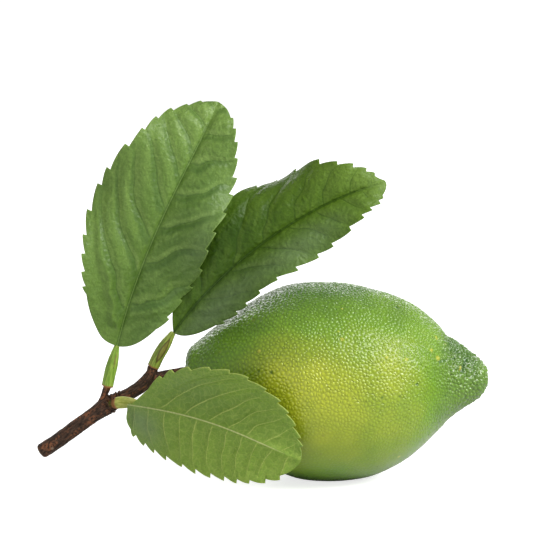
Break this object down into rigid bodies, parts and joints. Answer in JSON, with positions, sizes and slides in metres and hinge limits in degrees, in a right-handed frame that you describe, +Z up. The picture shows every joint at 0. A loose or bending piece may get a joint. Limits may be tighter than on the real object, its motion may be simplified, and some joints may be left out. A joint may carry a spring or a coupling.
{
  "type": "lime with leaves",
  "caption": "Green lime fruit lying on its side, with a short brown twig and saw-toothed leaves on swollen green stalks.",
  "frame": {"origin": "middle of the small flat spot that the fruit rests on", "axes": "+X along the fruit towards its nipple, +Z up, -Y the front of the spray, where the lower leaf hangs"},
  "size_m": [0.1133, 0.0558, 0.0955],
  "materials": {
    "fruit_skin": "glossy pebbled citrus skin, yellow-green in the middle and deeper green towards both ends",
    "bark": "rough dark brown bark with reddish patches",
    "stalk": "satin yellow-green, ribbed lengthwise",
    "leaf": "satin mid green blade with a pale net of veins"
  },
  "bodies": {
    "root": {"lime_fruit": "fruit_skin", "twig": "bark", "petiole_upper": "stalk", "petiole_middle": "stalk", "petiole_lower": "stalk", "leaf_upper": "leaf", "leaf_middle": "leaf", "leaf_lower": "leaf"}
  },
  "joints": []
}
